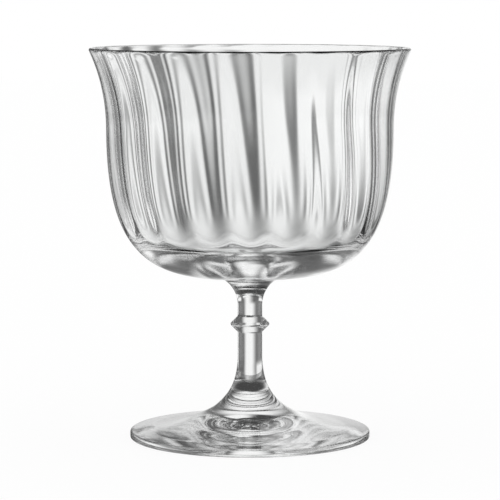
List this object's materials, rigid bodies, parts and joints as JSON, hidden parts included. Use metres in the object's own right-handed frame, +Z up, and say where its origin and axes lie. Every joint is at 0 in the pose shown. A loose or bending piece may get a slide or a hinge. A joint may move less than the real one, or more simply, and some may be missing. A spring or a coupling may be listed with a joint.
{
  "type": "dessert coupe",
  "caption": "Clear glass dessert coupe: wide ribbed bowl with an outward lip on a short ringed stem and a round flat foot, for serving desserts or drinks.",
  "frame": {"origin": "on the table, under the middle of the foot", "axes": "+Z up along the axis of bowl and stem; +X and +Y level, alike by symmetry"},
  "size_m": [0.1, 0.1, 0.122],
  "materials": {
    "clear_glass": "fire-polished clear glass"
  },
  "bodies": {
    "root": {"bowl": "clear_glass", "upper_stem": "clear_glass", "stem_ring": "clear_glass", "lower_stem": "clear_glass", "foot": "clear_glass"}
  },
  "joints": []
}
